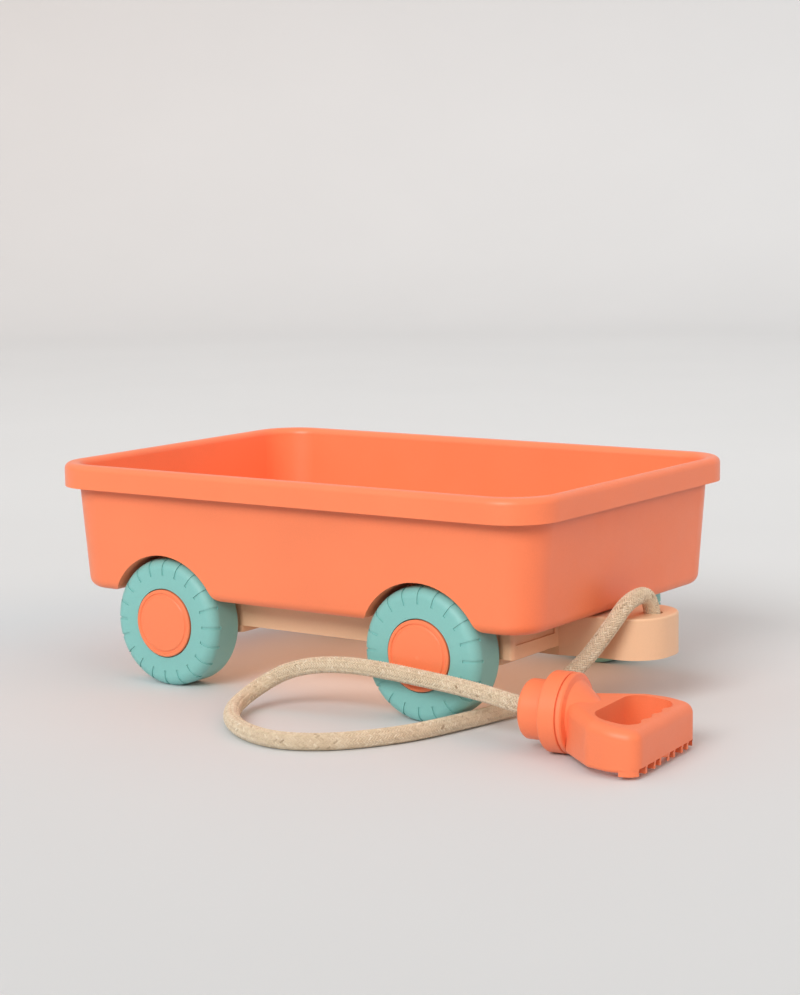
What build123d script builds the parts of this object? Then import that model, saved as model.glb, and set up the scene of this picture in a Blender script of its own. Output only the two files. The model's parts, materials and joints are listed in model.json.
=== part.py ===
"""A toddler's pull wagon: moulded tub, chassis with a tongue, four wheels, rope and D handle.

Millimetres, +Z up, wheels and handle on the floor at Z = 0. +X is the pulling direction.
The origin is on the floor under the middle of the wagon and handle together. The wagon's own
centre stands a little behind it, at WAGON_X, WAGON_Y, and most sizes are given from there.
"""
import math
import os

from build123d import *

os.makedirs("parts", exist_ok=True)

# Where the wagon's own centre stands in the part's frame
WAGON_X = -46.66
WAGON_Y = 20.79

# Tub
TUB_LENGTH = 373.0        # outside, at the bottom
TUB_WIDTH = 246.0
TUB_BOTTOM = 62.8
TUB_CORNER = 24.0
TUB_EDGE = 7.5            # rounding between the walls and the bottom
WALL = 2.8
DRAFT = 4.4               # degrees that each wall leans out

# Rim: a rolled lip with a skirt that hangs outside the walls
RIM_LENGTH = 400.0
RIM_WIDTH = 276.0
RIM_TOP = 152.0
RIM_CORNER = 34.0
RIM_CAP = 3.0
RIM_ROUND = 4.5
SKIRT_BOTTOM = 135.5
SKIRT = 2.6

# Wheels and their arches
WHEEL_R = 44.4
AXLE_SPAN = 106.3         # from the wagon's centre to each axle
WHEEL_FACE = 123.4        # the wheel's outer face, from the centre plane
WHEEL_BACK = 96.5
SHOULDER = 7.5
TREAD_WALL = 3.0
HUB_R = 9.0
HUB_BACK = 93.3
CAP_POCKET_R = 24.2
CAP_SEAT_R = 22.0
CAP_SEAT = 120.4
CAP_FLOOR = 115.4
SPOKES = 6
SLOTS = 20
SLOT_WIDTH = 1.9
SLOT_DEPTH = 0.7
SLOT_RUN = 3.5            # how far each slot runs in over the face
SPOKE_THICK = 2.0
ARCH_R = 47.5
ARCH_FLARE = 9.0
ARCH_BACK = 93.0          # how far in from the centre plane the wheel wells reach
ARCH_REACH = 60.0         # how far out each well is cut, past the wall
AXLE_R = 3.0
AXLE_END = 119.2
RUNNING = 0.05            # radial clearance between a wheel's bore and its axle

# Chassis
DECK = 3.0
CHASSIS_WIDTH = 184.0
RAIL_BOTTOM = 42.0
RAIL_THICK = 3.0
CARRIER_BOTTOM = 37.0
REAR_CARRIER = (-150.0, -63.0)
FRONT_CARRIER = (63.0, 148.0)
BEAM_FRONT = 157.5
BEAM_BOTTOM = 41.0
LEDGE = 50.0              # a ledge along the front beam, with a shallow recess over it
LEDGE_DEPTH = 1.2
LEDGE_MIDDLE = 64.0       # the recess's middle, each side of the tongue
LEDGE_WIDTH = 48.0
RIB_Y = 30.0              # ribs between the carriers, each side of the middle
RAIL_LAP = 2.0            # how far rails and ribs run into the carriers
TONGUE_TIP = 222.0
TONGUE_TOP = 62.0
TONGUE_BOTTOM = 34.5
TONGUE_HALF = 29.0        # half width at the tip, before its rounding
TONGUE_ROOT_HALF = 35.0
ROPE_HOLE_X = 208.0
ROPE_HOLE_Y = 1.0

# Fasteners
BOSS_R = 4.5
BOSS_BOTTOM = 53.0
PILOT_R = 1.6
SHANK_ROOM = 0.4          # how much wider a clearance hole is than the screw
SCREW_HEAD_R = 3.6
SCREW_HEAD = 2.2
CROSS = (3.6, 0.8, 1.2)   # length, width and depth of the recess in a screw's head

# Rope
ROPE_R = 5.5

# Handle: its axis lies level, turned a little from +X
HANDLE_X = 215.2          # the collar's back face, from the wagon's centre
HANDLE_Y = -138.3
HANDLE_TURN = 5.3
COLLAR_R = 25.0
NOSE_R = 18.6
NOSE = 16.5
BAND = 12.0
LIP = 3.0
BODY_BOTTOM = 4.0
PAD_BOTTOM = 2.2
PARTING = 14.0
GRIP_END = 75.0
GRIP_HALF = 43.0
RECESS_WIDTHS = (8.0, 10.0, 6.2, 10.0, 6.2, 10.0, 6.2, 8.0)
RECESS_RIB = 2.3
RECESS_RUN = 7.5          # how far each recess runs in from the end
RECESS_TOP = 6.8
GROOVE = 1.2              # between the collar's band and the body's lip
SPIGOT_R = 15.0
NECK_START = BAND + GROOVE + LIP
NECK_R = 20.5
NECK_END = 31.0
TOP_NECK = 36.5
TOP_GRIP = 28.0
BODY_ROUND = 6.5
SHELL = 3.2
PAD_START = 63.5
OPENING_START = 38.0
OPENING_END = 65.5
OPENING_HALF = 34.5
FINGERS = 4
FINGER_PITCH = 15.6
FINGER_R = 10.0
FINGER_DEPTH = 1.8
HANDLE_SCREWS = ((33.0, -22.0), (33.0, 22.0), (70.2, 0.0))
SCREW_SEAT = 9.0
HANDLE_SCREW = 10.0       # length under the head


def wagon_at(x, y, z=0.0):
    """A point given from the wagon's own centre on the floor."""
    return Vector(WAGON_X + x, WAGON_Y + y, z)


def level(z):
    """A horizontal plane at height z over the wagon's centre."""
    return Plane(origin=wagon_at(0, 0, z))


def side_view(y):
    """An upright plane across the wagon at y, drawn as X and Z, facing the near side."""
    return Plane(origin=wagon_at(0, y), x_dir=(1, 0, 0), z_dir=(0, -1, 0))


def write(part, name):
    """Labels a finished piece and writes its STEP file."""
    part.label = name
    export_step(part, f"parts/{name}.step")


# ---------------------------------------------------------------- tub

def arch_cutter(grow):
    """The four wheel wells as solids, flared at the tub's bottom edge, grown by a wall."""
    with BuildPart() as wells:
        for x in (-AXLE_SPAN, AXLE_SPAN):
            for face, away in ((ARCH_BACK - grow, 1), (-ARCH_BACK + grow, -1)):
                with BuildSketch(side_view(face)) as outline:
                    with Locations((x, WHEEL_R)):
                        Circle(ARCH_R + grow)
                    with Locations((x, (TUB_BOTTOM + grow) / 2)):
                        Rectangle(3 * ARCH_R, TUB_BOTTOM + grow)
                    corners = outline.vertices().filter_by(
                        lambda v: abs(v.Y - TUB_BOTTOM - grow) < 0.1 and abs(v.X - x) < ARCH_R
                    )
                    fillet(corners, ARCH_FLARE - grow)
                extrude(amount=-away * ARCH_REACH)
    return wells.part


def tub_block(bottom, inset, top):
    """A drafted block of the tub's plan, moved in by a wall's thickness."""
    lean = math.tan(math.radians(DRAFT)) * (bottom - TUB_BOTTOM)
    with BuildPart() as block:
        with BuildSketch(level(bottom)):
            RectangleRounded(
                TUB_LENGTH - 2 * inset + 2 * lean,
                TUB_WIDTH - 2 * inset + 2 * lean,
                TUB_CORNER - inset + lean,
            )
        extrude(amount=top - bottom, taper=-DRAFT)
        fillet(block.faces().sort_by(Axis.Z)[0].edges(), TUB_EDGE - inset)
    return block.part


BOSS_SPOTS = [(x, y) for x in (-140.0, -72.0, 72.0, 140.0) for y in (-48.0, 48.0)]

outer_block = tub_block(TUB_BOTTOM, 0.0, RIM_TOP - RIM_CAP / 2)
inner_block = tub_block(TUB_BOTTOM + WALL, WALL, RIM_TOP + 1.0)
wheel_wells = arch_cutter(0.0)
well_housings = arch_cutter(WALL)

with BuildPart() as cavity:
    add(inner_block)
    add(well_housings, mode=Mode.SUBTRACT)

with BuildPart() as tub:
    with BuildSketch(level(SKIRT_BOTTOM)):
        RectangleRounded(RIM_LENGTH, RIM_WIDTH, RIM_CORNER)
    extrude(amount=RIM_TOP - SKIRT_BOTTOM)
    fillet(tub.faces().sort_by(Axis.Z)[-1].edges(), RIM_ROUND)
    with BuildSketch(level(SKIRT_BOTTOM)):
        RectangleRounded(RIM_LENGTH - 2 * SKIRT, RIM_WIDTH - 2 * SKIRT, RIM_CORNER - SKIRT)
    extrude(amount=RIM_TOP - RIM_CAP - SKIRT_BOTTOM, mode=Mode.SUBTRACT)
    add(outer_block)
    add(cavity.part, mode=Mode.SUBTRACT)
    add(wheel_wells, mode=Mode.SUBTRACT)
    inner_rim = tub.edges().filter_by(
        lambda e: abs(e.center().Z - RIM_TOP) < 0.05
        and abs(e.center().X - WAGON_X) < RIM_LENGTH / 2 - 10
        and abs(e.center().Y - WAGON_Y) < RIM_WIDTH / 2 - 10
    )
    fillet(inner_rim, RIM_ROUND)
    with BuildSketch(level(TUB_BOTTOM)):
        with Locations(*BOSS_SPOTS):
            Circle(BOSS_R)
    extrude(amount=BOSS_BOTTOM - TUB_BOTTOM)
    with BuildSketch(level(BOSS_BOTTOM)):
        with Locations(*BOSS_SPOTS):
            Circle(PILOT_R)
    extrude(amount=TUB_BOTTOM - BOSS_BOTTOM - 1.0, mode=Mode.SUBTRACT)

write(tub.part, "tub")

# ---------------------------------------------------------------- chassis

SADDLE_Y = 74.0           # middle of each axle saddle
SADDLE_THICK = 24.0
SADDLE_LENGTH = 30.0
KEEPER_SCREW = 9.5        # keeper screws, fore and aft of the axle


def carrier(start, end, bottom, half):
    """A cross beam, open below, with its walls and deck of one thickness."""
    middle = (start + end) / 2
    with BuildPart() as beam:
        with BuildSketch(level(bottom)):
            with Locations((middle, 0)):
                RectangleRounded(end - start, 2 * half, 3.0)
        extrude(amount=TUB_BOTTOM - bottom)
        with BuildSketch(level(bottom)):
            with Locations((middle, 0)):
                Rectangle(end - start - 2 * RAIL_THICK, 2 * half - 2 * RAIL_THICK)
        extrude(amount=TUB_BOTTOM - DECK - bottom, mode=Mode.SUBTRACT)
    return beam.part


def tongue_outline(inset):
    """Half of the tongue's plan, mirrored: wide at the beam, round at the tip."""
    root = BEAM_FRONT - 20.0
    with BuildSketch() as plan:
        with BuildLine():
            Polyline(
                (root, 0),
                (root, TONGUE_ROOT_HALF - inset),
                (BEAM_FRONT, TONGUE_ROOT_HALF - inset),
                (TONGUE_TIP - 35.0, TONGUE_HALF - inset),
                (TONGUE_TIP - inset, TONGUE_HALF - inset),
                (TONGUE_TIP - inset, 0),
                close=True,
            )
        make_face()
        tip = plan.vertices().sort_by(Axis.X)[-2:].sort_by(Axis.Y)[-1]
        fillet(tip, TONGUE_HALF - inset - 4.0)
        mirror(about=Plane.XZ)
    return plan.sketch


rear_carrier = carrier(*REAR_CARRIER, CARRIER_BOTTOM, CHASSIS_WIDTH / 2)
front_carrier = carrier(*FRONT_CARRIER, CARRIER_BOTTOM, CHASSIS_WIDTH / 2)
front_beam = carrier(FRONT_CARRIER[1] - RAIL_THICK, BEAM_FRONT, BEAM_BOTTOM, CHASSIS_WIDTH / 2)
tongue_plan = tongue_outline(0.0)
tongue_hollow = tongue_outline(RAIL_THICK)

with BuildPart() as chassis:
    # deck under the tub, rails at both sides
    with BuildSketch(level(TUB_BOTTOM - DECK)):
        deck_length = BEAM_FRONT - REAR_CARRIER[0]
        with Locations(((BEAM_FRONT + REAR_CARRIER[0]) / 2, 0)):
            RectangleRounded(deck_length, CHASSIS_WIDTH, 3.0)
    extrude(amount=DECK)
    with BuildSketch(level(RAIL_BOTTOM)):
        rail_y = (CHASSIS_WIDTH - RAIL_THICK) / 2
        for y in (-rail_y, -RIB_Y, RIB_Y, rail_y):
            with Locations((0, y)):
                Rectangle(FRONT_CARRIER[0] - REAR_CARRIER[1] + 2 * RAIL_LAP, RAIL_THICK)
    extrude(amount=TUB_BOTTOM - RAIL_BOTTOM)

    # axle carriers and the front beam
    add(rear_carrier)
    add(front_carrier)
    add(front_beam)

    # hollow tongue, its root faired into the front beam
    with BuildSketch(level(TONGUE_BOTTOM)):
        add(tongue_plan)
    extrude(amount=TONGUE_TOP - TONGUE_BOTTOM)
    with BuildSketch(level(TONGUE_BOTTOM)):
        add(tongue_hollow)
    extrude(amount=TONGUE_TOP - DECK - TONGUE_BOTTOM, mode=Mode.SUBTRACT)
    tongue_top = chassis.faces().filter_by(Axis.Z).filter_by(
        lambda f: abs(f.center().Z - TONGUE_TOP) < 0.01
    )
    fillet(tongue_top.edges().filter_by(lambda e: e.center().X > WAGON_X + BEAM_FRONT + 2), 1.5)

    # rope hole through the tongue's top
    with BuildSketch(level(TONGUE_TOP - 10.0)):
        with Locations((ROPE_HOLE_X, ROPE_HOLE_Y)):
            Circle(ROPE_R + 1.0)
    extrude(amount=20.0, mode=Mode.SUBTRACT)

    # ledge along the front beam: a shallow recess over it, each side of the tongue
    with BuildSketch(level(LEDGE)):
        for side in (-1, 1):
            with Locations((BEAM_FRONT, side * LEDGE_MIDDLE)):
                Rectangle(2 * LEDGE_DEPTH, LEDGE_WIDTH)
    extrude(amount=TUB_BOTTOM - DECK - LEDGE, mode=Mode.SUBTRACT)

    # saddles that hold the axles, open below, and cups that take the tub's bosses
    for x in (-AXLE_SPAN, AXLE_SPAN):
        with BuildSketch(level(CARRIER_BOTTOM)):
            for y in (-SADDLE_Y, SADDLE_Y):
                with Locations((x, y)):
                    Rectangle(SADDLE_LENGTH, SADDLE_THICK)
        extrude(amount=TUB_BOTTOM - CARRIER_BOTTOM)
    with BuildSketch(level(BOSS_BOTTOM - DECK)):
        with Locations(*BOSS_SPOTS):
            Circle(BOSS_R + 3.0)
    extrude(amount=TUB_BOTTOM - BOSS_BOTTOM + DECK)
    with BuildSketch(level(BOSS_BOTTOM)):
        with Locations(*BOSS_SPOTS):
            Circle(BOSS_R + 0.2)
    extrude(amount=TUB_BOTTOM - BOSS_BOTTOM, mode=Mode.SUBTRACT)
    with BuildSketch(level(BOSS_BOTTOM - DECK)):
        with Locations(*BOSS_SPOTS):
            Circle(PILOT_R + SHANK_ROOM)
    extrude(amount=DECK + 1.0, mode=Mode.SUBTRACT)

    # axle slots right across, and the keepers' pilot holes
    for x in (-AXLE_SPAN, AXLE_SPAN):
        with BuildSketch(side_view(-CHASSIS_WIDTH / 2 - 1.0)):
            with Locations((x, WHEEL_R)):
                Circle(AXLE_R + RUNNING)
            with Locations((x, WHEEL_R - 10.0)):
                Rectangle(2 * (AXLE_R + RUNNING), 20.0)
        extrude(amount=-CHASSIS_WIDTH - 2.0, mode=Mode.SUBTRACT)
        with BuildSketch(level(CARRIER_BOTTOM)):
            for y in (-SADDLE_Y, SADDLE_Y):
                for along in (-KEEPER_SCREW, KEEPER_SCREW):
                    with Locations((x + along, y)):
                        Circle(PILOT_R)
        extrude(amount=14.0, mode=Mode.SUBTRACT)

write(chassis.part, "chassis")

# ---------------------------------------------------------------- axles, keepers and screws

KEEPER_PLATE = 2.5

for name, x in (("rear_axle", -AXLE_SPAN), ("front_axle", AXLE_SPAN)):
    with BuildPart() as axle:
        with BuildSketch(side_view(-AXLE_END)):
            with Locations((x, WHEEL_R)):
                Circle(AXLE_R)
        extrude(amount=-2 * AXLE_END)
        chamfer(axle.edges().filter_by(GeomType.CIRCLE), 0.6)
    write(axle.part, name)

for name, x in (("rear_keepers", -AXLE_SPAN), ("front_keepers", AXLE_SPAN)):
    with BuildPart() as keepers:
        for y in (-SADDLE_Y, SADDLE_Y):
            with BuildSketch(level(CARRIER_BOTTOM)):
                with Locations((x, y)):
                    RectangleRounded(SADDLE_LENGTH, SADDLE_THICK, 2.0)
            extrude(amount=-KEEPER_PLATE)
            with BuildSketch(level(CARRIER_BOTTOM)):
                with Locations((x, y)):
                    Rectangle(2 * AXLE_R - 0.3, SADDLE_THICK - 2.0)
            extrude(amount=WHEEL_R - AXLE_R - CARRIER_BOTTOM)
            with BuildSketch(level(CARRIER_BOTTOM - KEEPER_PLATE)):
                for along in (-KEEPER_SCREW, KEEPER_SCREW):
                    with Locations((x + along, y)):
                        Circle(PILOT_R + SHANK_ROOM)
            extrude(amount=KEEPER_PLATE, mode=Mode.SUBTRACT)
    write(keepers.part, name)


def screws(spots, seat, length, plane=level):
    """Pan head screws that point up, with their heads under seat and a cross recess in each."""
    long, wide, deep = CROSS
    with BuildPart() as group:
        with BuildSketch(plane(seat - SCREW_HEAD)):
            with Locations(*spots):
                Circle(SCREW_HEAD_R)
        extrude(amount=SCREW_HEAD)
        fillet(group.edges().group_by(Axis.Z)[0], 0.9)
        with BuildSketch(plane(seat)):
            with Locations(*spots):
                Circle(PILOT_R)
        extrude(amount=length)
        with BuildSketch(plane(seat - SCREW_HEAD)):
            with Locations(*spots):
                Rectangle(long, wide)
                Rectangle(wide, long)
        extrude(amount=deep, mode=Mode.SUBTRACT)
    return group.part


write(screws(BOSS_SPOTS, BOSS_BOTTOM - DECK, 11.0), "tub_screws")
keeper_spots = [
    (x + along, y)
    for x in (-AXLE_SPAN, AXLE_SPAN)
    for y in (-SADDLE_Y, SADDLE_Y)
    for along in (-KEEPER_SCREW, KEEPER_SCREW)
]
write(screws(keeper_spots, CARRIER_BOTTOM - KEEPER_PLATE, 13.0), "keeper_screws")

# ---------------------------------------------------------------- wheels

CAP_R = 23.4
CAP_FACE = 124.8
CAP_GROOVE_R = 20.6
NUT_R = 7.0
WASHER = 0.8
NUT = 2.4


def slot_cutter(x, side):
    """A band just under the wheel's shoulder, left only where the slots are."""
    floor_r = WHEEL_R - SLOT_DEPTH
    floor_y = side * (WHEEL_FACE - SLOT_DEPTH)
    bend_r = WHEEL_R - SHOULDER
    bend_y = side * (WHEEL_FACE - SHOULDER)
    with BuildPart() as band:
        with BuildSketch(Plane(wagon_at(x, 0, WHEEL_R))):
            with BuildLine():
                Polyline(
                    (bend_r, floor_y),
                    (bend_r - SLOT_RUN, floor_y),
                    (bend_r - SLOT_RUN, side * (WHEEL_FACE + 2)),
                    (WHEEL_R + 2, side * (WHEEL_FACE + 2)),
                    (WHEEL_R + 2, bend_y),
                    (floor_r, bend_y),
                )
                RadiusArc((floor_r, bend_y), (bend_r, floor_y), -side * (SHOULDER - SLOT_DEPTH))
            make_face()
        revolve(axis=Axis(wagon_at(x, 0, WHEEL_R), (0, 1, 0)))
        with BuildSketch(side_view(0)):
            with Locations((x, WHEEL_R)):
                with PolarLocations(0, SLOTS // 2, angular_range=180):
                    Rectangle(3 * WHEEL_R, SLOT_WIDTH)
        extrude(amount=RIM_WIDTH, both=True, mode=Mode.INTERSECT)
    return band.part


def wheel_part(x, side):
    """One wheel, turned about its axle: tread, face, cap pocket and hub, hollow at the back."""
    bore = AXLE_R + RUNNING
    inner = WHEEL_R - TREAD_WALL
    cup_r = CAP_POCKET_R + TREAD_WALL
    cup_back = CAP_FLOOR - TREAD_WALL
    web = WHEEL_FACE - 4.0
    slots = slot_cutter(x, side)
    with BuildPart() as wheel:
        with BuildSketch(Plane(wagon_at(x, 0, WHEEL_R))):
            with BuildLine():
                Polyline(
                    (WHEEL_R - SHOULDER, side * WHEEL_FACE),
                    (CAP_POCKET_R, side * WHEEL_FACE),
                    (CAP_POCKET_R, side * CAP_SEAT),
                    (CAP_SEAT_R, side * CAP_SEAT),
                    (CAP_SEAT_R, side * CAP_FLOOR),
                    (bore, side * CAP_FLOOR),
                    (bore, side * HUB_BACK),
                    (HUB_R, side * HUB_BACK),
                    (HUB_R, side * cup_back),
                    (cup_r, side * cup_back),
                    (cup_r, side * web),
                    (inner - 5.0, side * web),
                    (inner, side * (web - 5.0)),
                    (inner, side * WHEEL_BACK),
                    (WHEEL_R - 1.0, side * WHEEL_BACK),
                    (WHEEL_R, side * (WHEEL_BACK + 1.0)),
                    (WHEEL_R, side * (WHEEL_FACE - SHOULDER)),
                )
                RadiusArc(
                    (WHEEL_R, side * (WHEEL_FACE - SHOULDER)),
                    (WHEEL_R - SHOULDER, side * WHEEL_FACE),
                    -side * SHOULDER,
                )
            make_face()
        revolve(axis=Axis(wagon_at(x, 0, WHEEL_R), (0, 1, 0)))
        # spokes behind the cup, from the hub to the tread
        spoke = inner - HUB_R + 1.0
        with BuildSketch(side_view(side * (WHEEL_BACK + 3.5))):
            with Locations((x, WHEEL_R)):
                with PolarLocations(HUB_R - 0.5 + spoke / 2, SPOKES):
                    Rectangle(spoke, SPOKE_THICK)
        extrude(amount=-side * (cup_back - WHEEL_BACK - 3.0))
        add(slots, mode=Mode.SUBTRACT)
    return wheel.part


def cap_part(x, side):
    """A hub cap: slightly raised disc with a ring groove, and a skirt that snaps into the seat."""
    with BuildPart() as cap:
        with BuildSketch(Plane(wagon_at(x, 0, WHEEL_R))):
            with BuildLine():
                Polyline(
                    (0, side * (CAP_FACE - 2.2)),
                    (0, side * (CAP_FACE + 0.2)),
                    (CAP_GROOVE_R - 1.6, side * CAP_FACE),
                    (CAP_GROOVE_R - 0.8, side * (CAP_FACE - 0.7)),
                    (CAP_GROOVE_R, side * (CAP_FACE - 0.7)),
                    (CAP_GROOVE_R + 0.6, side * CAP_FACE),
                    (CAP_R - 0.6, side * CAP_FACE),
                    (CAP_R, side * (CAP_FACE - 0.6)),
                    (CAP_R, side * CAP_SEAT),
                    (CAP_SEAT_R, side * CAP_SEAT),
                    (CAP_SEAT_R, side * (CAP_FLOOR + 0.6)),
                    (CAP_SEAT_R - 1.6, side * (CAP_FLOOR + 0.6)),
                    (CAP_SEAT_R - 1.6, side * (CAP_FACE - 2.2)),
                    close=True,
                )
            make_face()
        revolve(axis=Axis(wagon_at(x, 0, WHEEL_R), (0, 1, 0)))
    return cap.part


def ring_part(x, start, end, outer, inner):
    """A plain ring round an axle, between two distances from the centre plane."""
    with BuildPart() as ring:
        with BuildSketch(side_view(start)):
            with Locations((x, WHEEL_R)):
                Circle(outer)
                Circle(inner, mode=Mode.SUBTRACT)
        extrude(amount=start - end)
    return ring.part


CORNERS = {
    "rear_near": (-AXLE_SPAN, -1),
    "rear_far": (-AXLE_SPAN, 1),
    "front_near": (AXLE_SPAN, -1),
    "front_far": (AXLE_SPAN, 1),
}
for corner, (x, side) in CORNERS.items():
    write(wheel_part(x, side), f"{corner}_wheel")
    write(cap_part(x, side), f"{corner}_hub_cap")
    washer_start = side * (CHASSIS_WIDTH / 2 + 0.1)
    washer = ring_part(x, washer_start, washer_start + side * WASHER, HUB_R, AXLE_R)
    write(washer, f"{corner}_washer")
    nut_start = side * (CAP_FLOOR + 0.5)
    nut = ring_part(x, nut_start, nut_start + side * NUT, NUT_R, AXLE_R)
    write(nut, f"{corner}_push_nut")

# ---------------------------------------------------------------- handle

turn = math.radians(HANDLE_TURN)
handle_axis = Vector(math.cos(turn), math.sin(turn), 0)
handle_cut = Plane(
    origin=wagon_at(HANDLE_X, HANDLE_Y, COLLAR_R),
    x_dir=handle_axis,
    z_dir=handle_axis.cross(Vector(0, 0, 1)),
)
centre_line = Axis(handle_cut.origin, handle_axis)


def handle_level(z):
    """A horizontal plane at height z, X along the handle from the collar's back face."""
    return Plane(origin=wagon_at(HANDLE_X, HANDLE_Y, z), x_dir=handle_axis, z_dir=(0, 0, 1))


def body_outline(inset):
    """The D body's plan: flared shoulders that close to a straight grip."""
    with BuildSketch() as plan:
        with BuildLine():
            FilletPolyline(
                (NECK_START, 0),
                (NECK_START, 17),
                (21, 22),
                (41, 42),
                (57, GRIP_HALF + 4.5),
                (GRIP_END, GRIP_HALF + 1.5),
                (GRIP_END, 0),
                radius=[2, 12, 14, 24, 9],
            )
            Line((GRIP_END, 0), (NECK_START, 0))
        make_face()
        mirror(about=Plane.XZ)
        if inset:
            offset(amount=-inset)
    return plan.sketch


def finger_outline(outset):
    """The finger opening's plan: round towards the neck, four finger scallops on the grip."""
    with BuildSketch() as plan:
        with BuildLine():
            FilletPolyline(
                (OPENING_START, 0),
                (OPENING_START, OPENING_HALF),
                (OPENING_END, OPENING_HALF),
                (OPENING_END, 0),
                radius=[15, 7],
            )
            Line((OPENING_END, 0), (OPENING_START, 0))
        make_face()
        mirror(about=Plane.XZ)
        for finger in range(FINGERS):
            along = (finger - (FINGERS - 1) / 2) * FINGER_PITCH
            with Locations((OPENING_END + FINGER_DEPTH - FINGER_R, along)):
                Circle(FINGER_R)
        if outset:
            offset(amount=outset)
    return plan.sketch


def turned(*profile):
    """A solid turned about the handle's centre line from points along it and out from it."""
    with BuildPart() as solid:
        with BuildSketch(handle_cut):
            with BuildLine():
                Polyline(*profile, close=True)
            make_face()
        revolve(axis=centre_line)
    return solid.part


with BuildPart() as collar:
    with BuildSketch(handle_cut) as profile:
        with BuildLine():
            Polyline(
                (-NOSE, ROPE_R + 1.0),
                (-NOSE, NOSE_R),
                (0, NOSE_R),
                (0, COLLAR_R),
                (BAND, COLLAR_R),
                (BAND, SPIGOT_R),
                (-NOSE + 3.0, SPIGOT_R),
                (-NOSE + 3.0, ROPE_R + 1.0),
                close=True,
            )
        make_face()
        fillet(profile.vertices().sort_by_distance((-NOSE, NOSE_R))[0], 3.0)
        fillet(profile.vertices().sort_by_distance((0, COLLAR_R))[0], 1.8)
        fillet(profile.vertices().sort_by_distance((BAND, COLLAR_R))[0], 0.8)
        fillet(profile.vertices().sort_by_distance((0, NOSE_R))[0], 0.8)
        fillet(profile.vertices().sort_by_distance((-NOSE, ROPE_R + 1.0))[0], 1.0)
    revolve(axis=centre_line)
write(collar.part, "handle_collar")

neck = turned(
    (4.0, SPIGOT_R - 3.5),
    (4.0, SPIGOT_R - 0.1),
    (BAND, SPIGOT_R - 0.1),
    (BAND, COLLAR_R - 1.5),
    (BAND + GROOVE, COLLAR_R - 1.5),
    (BAND + GROOVE, COLLAR_R - 0.2),
    (BAND + GROOVE + LIP - 0.8, COLLAR_R - 0.2),
    (BAND + GROOVE + LIP, COLLAR_R - 1.0),
    (NECK_START + 1.0, NECK_R),
    (NECK_END, 9.0),
    (NECK_END, 6.0),
    (NECK_START + 2.0, SPIGOT_R - 3.5),
)

neck_room = turned(
    (0, 0),
    (0, COLLAR_R + 0.3),
    (NECK_START, COLLAR_R + 0.3),
    (NECK_START + 1.3, NECK_R + 0.3),
    (NECK_END + 0.3, 9.3),
    (NECK_END + 0.3, 0),
)
body_plan = body_outline(0.0)
body_hollow = body_outline(SHELL)
pad_plan = body_outline(0.3)
finger_plan = finger_outline(0.0)
finger_wall = finger_outline(SHELL)

with BuildPart() as upper:
    with BuildSketch(handle_level(PARTING)):
        add(body_plan)
    extrude(amount=TOP_NECK - PARTING)
    # the top slopes down to the grip
    with BuildSketch(handle_cut):
        with BuildLine():
            Polyline(
                (NECK_START - 5.0, TOP_NECK - COLLAR_R),
                (GRIP_END + 5.0, TOP_GRIP - COLLAR_R),
                (GRIP_END + 5.0, 2 * COLLAR_R),
                (NECK_START - 5.0, 2 * COLLAR_R),
                close=True,
            )
        make_face()
    extrude(amount=2 * GRIP_HALF, both=True, mode=Mode.SUBTRACT)
    top_face = upper.faces().sort_by(Axis.Z)[-1]
    fillet(top_face.edges(), BODY_ROUND)
    with BuildSketch(handle_level(PARTING)):
        add(finger_plan)
    extrude(amount=2 * COLLAR_R, mode=Mode.SUBTRACT)
    # hollow inside, open at the parting face
    with BuildSketch(handle_level(PARTING)):
        add(body_hollow)
        add(finger_wall, mode=Mode.SUBTRACT)
    extrude(amount=TOP_GRIP - SHELL - PARTING - 2.0, mode=Mode.SUBTRACT)
    add(neck)
    with BuildSketch(handle_level(PARTING)):
        with Locations(*HANDLE_SCREWS):
            Circle(BOSS_R)
    extrude(amount=TOP_GRIP - SHELL - PARTING - 1.0)
    with BuildSketch(handle_level(PARTING)):
        with Locations(*HANDLE_SCREWS):
            Circle(PILOT_R)
    extrude(amount=10.0, mode=Mode.SUBTRACT)
write(upper.part, "handle_upper_shell")

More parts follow.
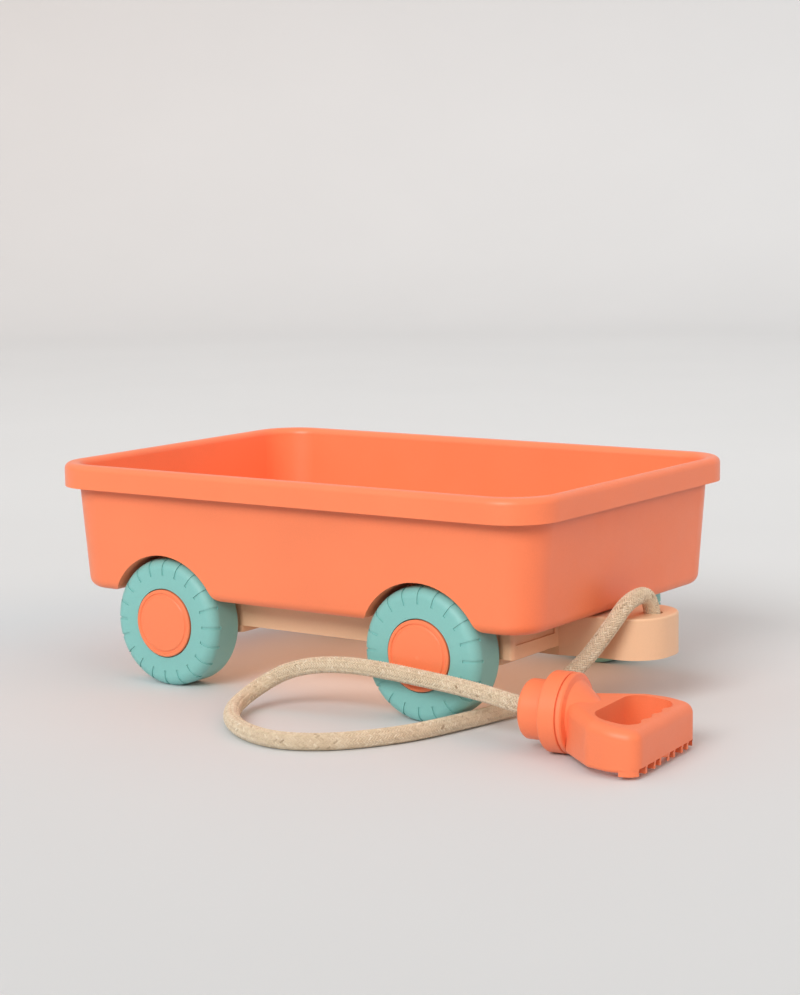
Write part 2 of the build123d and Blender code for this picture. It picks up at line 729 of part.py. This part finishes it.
with BuildPart() as lower:
    with BuildSketch(handle_level(BODY_BOTTOM)):
        add(body_plan)
    extrude(amount=PARTING - BODY_BOTTOM)
    fillet(lower.faces().sort_by(Axis.Z)[0].edges(), 2.5)
    # the pad along the grip, which stands on the floor
    with BuildSketch(handle_level(PAD_BOTTOM)):
        add(pad_plan)
        with Locations((PAD_START - GRIP_END, 0)):
            Rectangle(2 * GRIP_END, 3 * GRIP_HALF, mode=Mode.SUBTRACT)
    extrude(amount=BODY_BOTTOM + 3.0 - PAD_BOTTOM)
    with BuildSketch(handle_level(PAD_BOTTOM)):
        add(finger_plan)
    extrude(amount=COLLAR_R, mode=Mode.SUBTRACT)
    # a row of recesses under the grip, open downward and at its end
    with BuildSketch(handle_level(PAD_BOTTOM)):
        row = sum(RECESS_WIDTHS) + RECESS_RIB * (len(RECESS_WIDTHS) - 1)
        edge = -row / 2
        for width in RECESS_WIDTHS:
            with Locations((GRIP_END, edge + width / 2)):
                Rectangle(2 * RECESS_RUN, width)
            edge += width + RECESS_RIB
    extrude(amount=RECESS_TOP - PAD_BOTTOM, mode=Mode.SUBTRACT)
    # hollow inside, open at the parting face
    with BuildSketch(handle_level(PARTING)):
        add(body_hollow)
        add(finger_wall, mode=Mode.SUBTRACT)
    extrude(amount=RECESS_TOP + 2.0 - PARTING, mode=Mode.SUBTRACT)
    with BuildSketch(handle_level(BODY_BOTTOM + 1.0)):
        with Locations(*HANDLE_SCREWS):
            Circle(BOSS_R)
    extrude(amount=PARTING - BODY_BOTTOM - 1.0)
    with BuildSketch(handle_level(0)):
        with Locations(*HANDLE_SCREWS):
            Circle(PILOT_R + SHANK_ROOM)
    extrude(amount=PARTING, mode=Mode.SUBTRACT)
    with BuildSketch(handle_level(0)):
        with Locations(*HANDLE_SCREWS):
            Circle(SCREW_HEAD_R + 0.3)
    extrude(amount=SCREW_SEAT, mode=Mode.SUBTRACT)
    # room for the neck and the lip
    add(neck_room, mode=Mode.SUBTRACT)
write(lower.part, "handle_lower_shell")

# ---------------------------------------------------------------- handle screws

write(screws(HANDLE_SCREWS, SCREW_SEAT, HANDLE_SCREW, handle_level), "handle_screws")

# ---------------------------------------------------------------- rope

# From the knot in the tongue: up through the hole and over in a tight bend, down beside the
# tongue, along the floor past the front wheel, round a wide loop, and back against the wheel
# into the handle's nose. Given from the wagon's centre.
ROPE_ROUTE = [
    (208.0, 1.0, 50.0),
    (208.0, 0.5, 75.2),
    (206.5, -28.0, 75.8),
    (199.5, -41.0, 58.0),
    (186.0, -49.5, 36.5),
    (170.0, -57.5, 20.0),
    (156.5, -68.5, 10.0),
    (147.5, -84.0, 6.4),
    (142.5, -106.0, 5.6),
    (137.0, -132.0, 5.6),
    (130.0, -159.0, 5.6),
    (118.0, -185.0, 5.6),
    (98.0, -211.0, 5.6),
    (71.0, -224.0, 5.6),
    (41.0, -218.0, 5.6),
    (14.0, -200.0, 5.6),
    (-6.0, -175.0, 6.5),
    (-11.5, -151.0, 11.0),
    (-5.5, -139.5, 20.0),
    (9.0, -136.5, 28.5),
    (32.0, -135.0, 33.8),
    (60.0, -134.3, 35.6),
    (91.0, -134.4, 34.8),
    (120.0, -135.2, 33.0),
    (147.0, -137.0, 31.6),
    (171.0, -139.6, 29.6),
    (190.5, -140.7, 26.8),
    (207.5, -139.1, 25.0),
]
KNOT_R = 10.5
KNOT_HALF = 9.0           # half of a knot's length along the rope
TONGUE_KNOT_Z = 48.5      # its middle, under the hole
NOSE_KNOT = -4.5          # the inner knot's middle along the handle


def corner_radius(before, corner, after):
    """The arc at a corner: nearly half of the shorter run beside it becomes arc."""
    run_in = corner - before
    run_out = after - corner
    half_turn = math.radians(run_in.get_angle(run_out) / 2)
    return 0.45 * min(run_in.length, run_out.length) / math.tan(half_turn)


stations = [wagon_at(*point) for point in ROPE_ROUTE]
radii = [corner_radius(*stations[i:i + 3]) for i in range(len(stations) - 2)]

with BuildPart() as rope:
    with BuildLine() as route:
        FilletPolyline(*stations, radius=radii)
    with BuildSketch(Plane(origin=route.line @ 0, z_dir=route.line % 0)):
        Circle(ROPE_R)
    sweep()
write(rope.part, "rope")
print("rope arc radii", [round(radius, 1) for radius in radii])
section = math.pi * ROPE_R**2
length = sum(edge.length for edge in route.edges())
print("rope length", round(length, 1), "volume ratio", round(rope.part.volume / section / length, 4))


def knot_part(plane, axis):
    """A plain closed knot, turned about the rope's line through it."""
    with BuildPart() as knot:
        with BuildSketch(plane):
            with BuildLine():
                FilletPolyline(
                    (-KNOT_HALF, 0),
                    (-KNOT_HALF, KNOT_R / 2),
                    (-KNOT_HALF / 2, KNOT_R),
                    (KNOT_HALF / 2, KNOT_R),
                    (KNOT_HALF, KNOT_R / 2),
                    (KNOT_HALF, 0),
                    radius=2.5,
                )
                Line((KNOT_HALF, 0), (-KNOT_HALF, 0))
            make_face()
        revolve(axis=axis)
    return knot.part


up = Vector(0, 0, 1)
tongue_middle = wagon_at(ROPE_HOLE_X, ROPE_HOLE_Y, TONGUE_KNOT_Z)
tongue_plane = Plane(origin=tongue_middle, x_dir=up, z_dir=(0, 1, 0))
write(knot_part(tongue_plane, Axis(tongue_middle, up)), "rope_knot_tongue")
nose_middle = handle_cut.origin + NOSE_KNOT * handle_axis
nose_plane = Plane(origin=nose_middle, x_dir=handle_cut.x_dir, z_dir=handle_cut.z_dir)
write(knot_part(nose_plane, centre_line), "rope_knot_handle")
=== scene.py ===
"""Looks for a toddler's pull wagon: materials for its moulded parts, its braided rope, and the studio round it."""
import json
import math
import random

import bmesh
import bpy
from mathutils import Matrix, Vector


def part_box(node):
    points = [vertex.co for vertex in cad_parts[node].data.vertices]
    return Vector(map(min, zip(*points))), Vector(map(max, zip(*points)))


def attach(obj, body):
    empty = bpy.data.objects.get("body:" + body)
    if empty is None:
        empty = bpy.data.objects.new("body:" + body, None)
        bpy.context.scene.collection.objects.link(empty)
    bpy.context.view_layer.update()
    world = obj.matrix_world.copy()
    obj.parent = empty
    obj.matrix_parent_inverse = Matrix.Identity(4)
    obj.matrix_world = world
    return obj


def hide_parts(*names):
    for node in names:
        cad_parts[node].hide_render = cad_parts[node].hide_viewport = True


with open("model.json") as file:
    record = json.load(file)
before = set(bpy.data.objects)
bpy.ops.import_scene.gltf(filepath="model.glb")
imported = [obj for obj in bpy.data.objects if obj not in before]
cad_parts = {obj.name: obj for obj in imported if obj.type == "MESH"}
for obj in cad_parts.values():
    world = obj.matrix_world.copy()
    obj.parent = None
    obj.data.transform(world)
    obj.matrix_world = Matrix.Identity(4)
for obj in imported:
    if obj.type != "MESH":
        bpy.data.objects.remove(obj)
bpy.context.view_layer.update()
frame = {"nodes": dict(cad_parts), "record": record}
nodes = frame["nodes"]
scene = bpy.context.scene

MM = 0.001
tub_low, tub_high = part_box("tub")
# The wagon's own origin: on the floor, under the middle of the tub.
WAGON = Vector(((tub_low.x + tub_high.x) / 2, (tub_low.y + tub_high.y) / 2, 0))


def at(x, y, z):
    """A point given in millimetres from the wagon's own origin, in the shared frame in metres."""
    return WAGON + Vector((x, y, z)) * MM


# ---------------------------------------------------------------- camera
CAMERA_AT = (918.3, -1307.4, 347.3)     # in the wagon's millimetres
YAW, PITCH, ROLL = math.radians(34.86), math.radians(8.17), math.radians(-0.83)
LENS, SENSOR, SHIFT_Y = 83.02, 36.0, 0.0086
CLIP_NEAR, CLIP_FAR = 0.05, 60

forward = Vector((-math.sin(YAW) * math.cos(PITCH), math.cos(YAW) * math.cos(PITCH), -math.sin(PITCH)))
level_right = Vector((math.cos(YAW), math.sin(YAW), 0))
level_up = level_right.cross(forward)
right = math.cos(ROLL) * level_right + math.sin(ROLL) * level_up
up = -math.sin(ROLL) * level_right + math.cos(ROLL) * level_up

camera = bpy.data.objects.new("camera", bpy.data.cameras.new("camera"))
scene.collection.objects.link(camera)
turned = Matrix((right, up, -forward)).transposed().to_4x4()
camera.matrix_world = Matrix.Translation(at(*CAMERA_AT)) @ turned
camera.data.lens = LENS
camera.data.sensor_width = SENSOR
camera.data.shift_y = SHIFT_Y
camera.data.clip_start, camera.data.clip_end = CLIP_NEAR, CLIP_FAR
scene.camera = camera

# ---------------------------------------------------------------- rope
ROPE_ROUTE = [
    (208, 1, 50), (208, 0.5, 75.2), (206.5, -28, 75.8), (199.5, -41, 58), (186, -49.5, 36.5),
    (170, -57.5, 20), (156.5, -68.5, 10), (147.5, -84, 6.4), (142.5, -106, 5.6), (137, -132, 5.6),
    (130, -159, 5.6), (118, -185, 5.6), (98, -211, 5.6), (71, -224, 5.6), (41, -218, 5.6),
    (14, -200, 5.6), (-6, -175, 6.5), (-11.5, -151, 11), (-4, -139.5, 18.5), (10, -136.5, 26.5),
    (32, -135, 32.8), (60, -134.3, 35.6), (91, -134.4, 34.8), (120, -135.2, 33), (147, -137, 31.6),
    (171, -139.6, 29.6), (190.5, -140.7, 26.8), (207.5, -139.1, 25),
]
ROUTE_RESOLUTION = 24           # points along the spline for each point of the route
STRANDS_EACH_WAY = 16           # strands that turn to the left, and as many to the right
BRAID_TURN = 33 * MM            # length of rope in which a strand goes once round
BRAID_RADIUS = 4.74 * MM        # from the rope's middle to a strand's middle
BRAID_WAVE = 0.36 * MM          # how far a strand rises and dips as it passes over and under
STRAND_HALF_WIDTH, STRAND_HALF_THICK = 0.64 * MM, 0.50 * MM
STRAND_SWELL = 0.05             # how much wider and narrower a strand gets along its way
SWELL_RATE = 40                 # radians of that swell in each turn of the braid
STRAND_STEP = 0.55 * MM         # between one ring of points and the next
STRAND_SIDES = 6
STITCH = BRAID_TURN / STRANDS_EACH_WAY * 2
STITCH_TONE, STITCH_TONE_SPREAD = 0.55, 0.15
STITCH_SEED = 7
CORE_RADIUS = 4.35 * MM
CORE_SIDES = 20
CORE_STEPS = 3                  # strand steps between one ring of the core and the next
# tone of the core: painted shade that darkens the gaps between the strands
CORE_PAINTED_SHADE_TONE = 0.1


def route_points(route):
    """Points along one smooth open spline that has the route's points as its control points."""
    data = bpy.data.curves.new("rope_route", "CURVE")
    data.dimensions = "3D"
    spline = data.splines.new("NURBS")
    spline.points.add(len(route) - 1)
    for point, place in zip(spline.points, route):
        point.co = (*at(*place), 1)
    spline.order_u = 3
    spline.use_endpoint_u = True
    spline.resolution_u = ROUTE_RESOLUTION
    holder = bpy.data.objects.new("rope_route", data)
    scene.collection.objects.link(holder)
    bpy.context.view_layer.update()
    mesh = bpy.data.meshes.new_from_object(holder)
    points = [v.co.copy() for v in mesh.vertices]
    bpy.data.objects.remove(holder)
    bpy.data.meshes.remove(mesh)
    return points


def even_frames(points, step):
    """Places every step along the line, each with two directions square to it that don't twist."""
    lengths = [0.0]
    for a, b in zip(points, points[1:]):
        lengths.append(lengths[-1] + (b - a).length)
    count = max(2, round(lengths[-1] / step))
    places, k = [], 0
    for i in range(count + 1):
        s = lengths[-1] * i / count
        while k < len(points) - 2 and lengths[k + 1] < s:
            k += 1
        t = (s - lengths[k]) / max(lengths[k + 1] - lengths[k], 1e-12)
        places.append((s, points[k].lerp(points[k + 1], t)))
    frames, side = [], None
    for i, (s, p) in enumerate(places):
        ahead = places[min(i + 1, count)][1] - places[max(i - 1, 0)][1]
        ahead.normalize()
        if side is None:
            side = ahead.orthogonal().normalized()
        side = (side - ahead * side.dot(ahead)).normalized()
        frames.append((s, p, side.copy(), ahead.cross(side)))
    return frames


def tube(bm, tone_layer, rings, tones):
    """Closed skin over rings of points, each ring with its own tone."""
    loops = []
    for ring, tone in zip(rings, tones):
        loop = [bm.verts.new(p) for p in ring]
        for v in loop:
            v[tone_layer] = tone
        loops.append(loop)
    sides = len(loops[0])
    for a, b in zip(loops, loops[1:]):
        for j in range(sides):
            bm.faces.new((a[j], a[(j + 1) % sides], b[(j + 1) % sides], b[j]))
    bm.faces.new(list(reversed(loops[0])))
    bm.faces.new(loops[-1])


def strand_line(frames, way, n):
    """The middle of strand n and its direction out of the rope, at each frame.

    It turns to the left or the right by way, and rises and dips as it passes over and under the others.
    """
    start = 2 * math.pi * n / STRANDS_EACH_WAY
    turn_rate = 2 * math.pi / BRAID_TURN
    line = []
    for s, p, e1, e2 in frames:
        angle = start + way * turn_rate * s
        wave = way * math.cos(math.pi * n + way * STRANDS_EACH_WAY * turn_rate * s / 2 - math.pi / 4)
        out = math.cos(angle) * e1 + math.sin(angle) * e2
        line.append((p + out * (BRAID_RADIUS + BRAID_WAVE * wave), out))
    return line


def strand_rings(line, n):
    """Oval rings of points round the middle of strand n."""
    rings = []
    for i, (centre, out) in enumerate(line):
        ahead = line[min(i + 1, len(line) - 1)][0] - line[max(i - 1, 0)][0]
        across = ahead.cross(out).normalized()
        outward = across.cross(ahead).normalized()
        swell = 1 + STRAND_SWELL * math.sin(SWELL_RATE * i * STRAND_STEP / BRAID_TURN + n)
        rings.append([
            centre
            + across * (STRAND_HALF_WIDTH * swell * math.cos(2 * math.pi * j / STRAND_SIDES))
            + outward * (STRAND_HALF_THICK * math.sin(2 * math.pi * j / STRAND_SIDES))
            for j in range(STRAND_SIDES)
        ])
    return rings


def stitch_tones(frames, way, dice):
    """A tone for each ring of a strand, the same all along a stitch."""
    shades = [dice.gauss(0, 1) for _ in range(int(frames[-1][0] / STITCH) + 3)]
    shift = 0.5 if way < 0 else 0.0
    return [STITCH_TONE + STITCH_TONE_SPREAD * shades[int(s / STITCH + shift)] for s, *_ in frames]


def core_rings(frames):
    """Round rings of points inside the braid, which close the gaps between its strands."""
    angles = [2 * math.pi * j / CORE_SIDES for j in range(CORE_SIDES)]
    return [[p + CORE_RADIUS * (math.cos(a) * e1 + math.sin(a) * e2) for a in angles]
            for _, p, e1, e2 in frames[::CORE_STEPS]]


def braided_rope(points):
    """The rope along its middle line: strands braided over and under each other, round a dark core that is painted
    shade in the gaps between them.
    """
    bm = bmesh.new()
    tone_layer = bm.verts.layers.float.new("tone")
    frames = even_frames(points, STRAND_STEP)
    dice = random.Random(STITCH_SEED)
    for way in (1, -1):
        for n in range(STRANDS_EACH_WAY):
            rings = strand_rings(strand_line(frames, way, n), n)
            tube(bm, tone_layer, rings, stitch_tones(frames, way, dice))
    core = core_rings(frames)
    # The core gets a dark tone: painted shade where it shows between the strands.
    tube(bm, tone_layer, core, [CORE_PAINTED_SHADE_TONE] * len(core))
    bmesh.ops.recalc_face_normals(bm, faces=bm.faces)
    for face in bm.faces:
        face.smooth = True
    mesh = bpy.data.meshes.new("braided_rope")
    bm.to_mesh(mesh)
    bm.free()
    piece = bpy.data.objects.new("braided_rope", mesh)
    scene.collection.objects.link(piece)
    return piece


rope_line = route_points(ROPE_ROUTE)
rope = braided_rope(rope_line)
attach(rope, "root")
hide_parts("rope")


# ---------------------------------------------------------------- materials
# The mix node has sockets of the same name for each kind of data: these are its colour ones.
MIX_INPUTS, MIX_OUTPUT = (0, 6, 7), 2
WHITE, BLACK = (1.0, 1.0, 1.0), (0, 0, 0)


class Shader:
    """A node material: a principled shader and small helpers that add texture nodes in front of it."""

    def __init__(self, name, **constants):
        self.material = bpy.data.materials.new(name)
        self.material.use_nodes = True
        self.tree = self.material.node_tree
        self.shader = self.tree.nodes["Principled BSDF"]
        self.place = self.add("ShaderNodeTexCoord").outputs["Object"]
        for socket, value in constants.items():
            self.shader.inputs[socket.replace("_", " ")].default_value = value

    def add(self, kind, links=(), **settings):
        """A node of this kind, with its sockets or properties set and its inputs linked."""
        node = self.tree.nodes.new(kind)
        for key, value in settings.items():
            if key in node.inputs:
                node.inputs[key].default_value = value
            else:
                setattr(node, key, value)
        for socket, source in links:
            self.tree.links.new(source, node.inputs[socket])
        return node

    def link(self, source, socket):
        """Leads a node's output to a socket of the principled shader."""
        self.tree.links.new(source, self.shader.inputs[socket])

    def noise(self, scale, detail=2.0, roughness=0.5):
        return self.add("ShaderNodeTexNoise", [("Vector", self.place)],
                        Scale=scale, Detail=detail, Roughness=roughness).outputs["Fac"]

    def ramp(self, factor, *stops):
        """A colour that runs through stops of (position, colour)."""
        node = self.add("ShaderNodeValToRGB", [("Fac", factor)])
        band = node.color_ramp
        while len(band.elements) < len(stops):
            band.elements.new(0.5)
        for element, (position, colour) in zip(band.elements, stops):
            element.position = position
            element.color = (*colour, 1)
        return node.outputs["Color"]

    def span(self, factor, low, high, start=0.3, end=0.7):
        """A value that runs from low to high while the factor runs from start to end."""
        return self.add("ShaderNodeMapRange", [("Value", factor)], **{
            "From Min": start, "From Max": end, "To Min": low, "To Max": high}).outputs["Result"]

    def mix(self, factor, a, b, blend_type="MIX"):
        """Two colours mixed by a factor, each of the three a value or a node's output."""
        node = self.add("ShaderNodeMix", data_type="RGBA", blend_type=blend_type)
        for index, value in zip(MIX_INPUTS, (factor, a, b)):
            if hasattr(value, "is_output"):
                self.tree.links.new(value, node.inputs[index])
            else:
                node.inputs[index].default_value = (*value, 1) if isinstance(value, tuple) else value
        return node.outputs[MIX_OUTPUT]

    def bump(self, height, strength, distance, below=None):
        """Normals for fine relief, on top of the relief below it if there is one."""
        links = [("Height", height)] + ([("Normal", below)] if below else [])
        return self.add("ShaderNodeBump", links, Strength=strength, Distance=distance).outputs["Normal"]


def shade(colour, amount):
    """The colour made darker or lighter."""
    return tuple(min(1.0, c * amount) for c in colour)


def moulded(name, colour, roughness=0.42, grain=0.10, mottling=0.035):
    """Satin moulded plastic: slow flow marks in its tone, a fine mould grain, and faint handling marks."""
    m = Shader(name, Coat_Weight=0.08, Coat_Roughness=0.28, Sheen_Weight=0.06, Sheen_Roughness=0.5)
    flow = m.noise(9, detail=3, roughness=0.55)
    tone = m.ramp(flow, (0.32, shade(colour, 1 - mottling)), (0.68, shade(colour, 1 + mottling)))
    speck = m.noise(900, roughness=0.7)
    fine = m.ramp(speck, (0.3, shade(WHITE, 0.965)), (0.7, WHITE))
    m.link(m.mix(1.0, tone, fine, "MULTIPLY"), "Base Color")
    worn = m.noise(38, detail=4, roughness=0.6)
    m.link(m.span(worn, roughness - 0.05, roughness + 0.07), "Roughness")
    waves = m.bump(m.noise(26, roughness=0.4), strength=0.05, distance=0.6 * MM)
    mould_grain = m.noise(1500, detail=3, roughness=0.6)
    m.link(m.bump(mould_grain, strength=grain, distance=0.12 * MM, below=waves), "Normal")
    return m.material


YARN_TONES = [(0.0, (0.34, 0.24, 0.14)), (0.3, (0.66, 0.53, 0.37)), (0.65, (0.77, 0.65, 0.48)),
              (1.0, (0.88, 0.79, 0.64))]
SEED_FLECK = (0.45, 0.31, 0.17)


def braided_cotton():
    """Undyed cotton yarn: each stitch has its own tone, with darker flecks of seed and fine fibres."""
    m = Shader("braided_cotton", Sheen_Weight=0.35, Sheen_Roughness=0.6, Roughness=0.88,
               Specular_IOR_Level=0.25)
    stitch = m.add("ShaderNodeAttribute", attribute_name="tone").outputs["Fac"]
    yarn = m.ramp(stitch, *YARN_TONES)
    fibres = m.noise(2600, detail=4, roughness=0.75)
    fibre_tone = m.ramp(fibres, (0.3, (0.80, 0.77, 0.72)), (0.62, WHITE))
    cloth = m.mix(1.0, yarn, fibre_tone, "MULTIPLY")
    flecks = m.ramp(m.noise(1500, detail=1), (0.70, BLACK), (0.76, WHITE))
    m.link(m.mix(flecks, cloth, SEED_FLECK), "Base Color")
    m.link(m.bump(fibres, strength=0.5, distance=0.2 * MM), "Normal")
    return m.material


def drawn_steel(name, colour, roughness):
    """Plated steel with fine streaks from drawing and turning."""
    m = Shader(name, Metallic=1.0)
    streaks = m.noise(420, detail=4, roughness=0.7)
    m.link(m.ramp(streaks, (0.3, shade(colour, 0.85)), (0.7, shade(colour, 1.1))), "Base Color")
    m.link(m.span(streaks, roughness - 0.06, roughness + 0.1), "Roughness")
    m.link(m.bump(streaks, strength=0.12, distance=0.1 * MM), "Normal")
    return m.material


ORANGE, HANDLE_ORANGE = (0.95, 0.235, 0.095), (0.93, 0.225, 0.09)
TEAL, CREAM = (0.22, 0.53, 0.50), (0.82, 0.52, 0.32)
ZINC, DARK_STEEL = (0.60, 0.60, 0.60), (0.35, 0.35, 0.36)
finishes = {
    "tub_plastic": moulded("tub_orange", ORANGE),
    "cap_plastic": moulded("cap_orange", ORANGE, roughness=0.38),
    "handle_plastic": moulded("handle_orange", HANDLE_ORANGE, roughness=0.46, grain=0.16),
    "teal_plastic": moulded("wheel_teal", TEAL, roughness=0.5, grain=0.14),
    "cream_plastic": moulded("chassis_cream", CREAM, roughness=0.45),
    "cotton_rope": braided_cotton(),
    "steel": drawn_steel("zinc_steel", ZINC, roughness=0.32),
    "spring_steel": drawn_steel("spring_steel", DARK_STEEL, roughness=0.4),
}
for part in frame["record"]["subparts"]:
    for slot in nodes[part["node"]].material_slots:
        slot.material = finishes[part["material_slot"]]
rope.data.materials.append(finishes["cotton_rope"])

# ---------------------------------------------------------------- studio
STAGE_RADIUS, STAGE_CURVE, STAGE_HEIGHT = 5.0, 1.5, 2.0
STAGE_SIDES, CURVE_STEPS = 96, 16
FLAT_RINGS = (1.2, 2.4)
PAPER_NEAR, PAPER_MIDDLE, PAPER_FAR = (0.705, 0.735, 0.755), (0.605, 0.628, 0.645), (0.405, 0.417, 0.43)
SKY_COLOUR, SKY_STRENGTH = (1.0, 0.995, 0.98), 0.69


def studio_floor():
    """A wide flat floor that curves up into a low wall all round."""
    profile = [(radius, 0.0) for radius in FLAT_RINGS]
    for k in range(CURVE_STEPS + 1):
        a = math.pi / 2 * k / CURVE_STEPS
        profile.append((STAGE_RADIUS - STAGE_CURVE + STAGE_CURVE * math.sin(a),
                        STAGE_CURVE - STAGE_CURVE * math.cos(a)))
    profile.append((STAGE_RADIUS, STAGE_HEIGHT))
    bm = bmesh.new()
    turns = [2 * math.pi * k / STAGE_SIDES for k in range(STAGE_SIDES)]
    rings = [[bm.verts.new((r * math.cos(t), r * math.sin(t), z)) for t in turns] for r, z in profile]
    bm.faces.new(rings[0])
    for a, b in zip(rings, rings[1:]):
        for k in range(STAGE_SIDES):
            bm.faces.new((a[k], b[k], b[(k + 1) % STAGE_SIDES], a[(k + 1) % STAGE_SIDES]))
    for face in bm.faces:
        face.smooth = True
    mesh = bpy.data.meshes.new("studio_floor")
    bm.to_mesh(mesh)
    bm.free()
    stage = bpy.data.objects.new("studio_floor", mesh)
    scene.collection.objects.link(stage)
    return stage


def studio_paper():
    """Matt paper that gets darker with its distance from the middle."""
    m = Shader("studio_paper", Roughness=0.75, Specular_IOR_Level=0.2)
    distance = m.add("ShaderNodeVectorMath", [(0, m.place)], operation="LENGTH").outputs["Value"]
    away = m.span(distance, 0.0, 1.0, start=0.0, end=STAGE_RADIUS + 1.0)
    tone = m.ramp(away, (0.2, PAPER_NEAR), (0.55, PAPER_MIDDLE), (0.9, PAPER_FAR))
    fleck = m.ramp(m.noise(3), (0.3, shade(WHITE, 0.985)), (0.7, WHITE))
    m.link(m.mix(1.0, tone, fleck, "MULTIPLY"), "Base Color")
    return m.material


floor = studio_floor()
floor.data.materials.append(studio_paper())

world = bpy.data.worlds.new("studio")
world.use_nodes = True
world.node_tree.nodes["Background"].inputs["Color"].default_value = (*SKY_COLOUR, 1)
world.node_tree.nodes["Background"].inputs["Strength"].default_value = SKY_STRENGTH
scene.world = world


def soft_sun(name, azimuth, elevation, strength, spread, colour):
    """A very soft far light. Azimuth 0 comes from -Y and 90 from +X."""
    a, e = math.radians(azimuth), math.radians(elevation)
    data = bpy.data.lights.new(name, "SUN")
    data.energy, data.angle, data.color = strength, math.radians(spread), colour
    light = bpy.data.objects.new(name, data)
    toward = Vector((math.sin(a) * math.cos(e), -math.cos(a) * math.cos(e), math.sin(e)))
    light.rotation_mode = "QUATERNION"
    light.rotation_quaternion = toward.to_track_quat("Z", "Y")
    scene.collection.objects.link(light)


def glow_under(name, width, depth, height, power, colour):
    """A flat lamp that faces down under the wagon, for the light that the tub throws on the floor."""
    data = bpy.data.lights.new(name, "AREA")
    data.shape = "RECTANGLE"
    data.size, data.size_y = width * MM, depth * MM
    data.energy, data.color = power, colour
    light = bpy.data.objects.new(name, data)
    light.location = at(0, 0, height)
    light.visible_camera = False
    scene.collection.objects.link(light)


soft_sun("key", azimuth=6, elevation=27, strength=2.75, spread=34, colour=(1, 0.985, 0.96))
soft_sun("fill", azimuth=88, elevation=14, strength=1.7, spread=60, colour=(1, 0.52, 0.28))
glow_under("bounce", width=300, depth=190, height=33, power=0.10, colour=(1, 0.52, 0.32))

scene.view_settings.view_transform = "Standard"
scene.view_settings.look = "None"
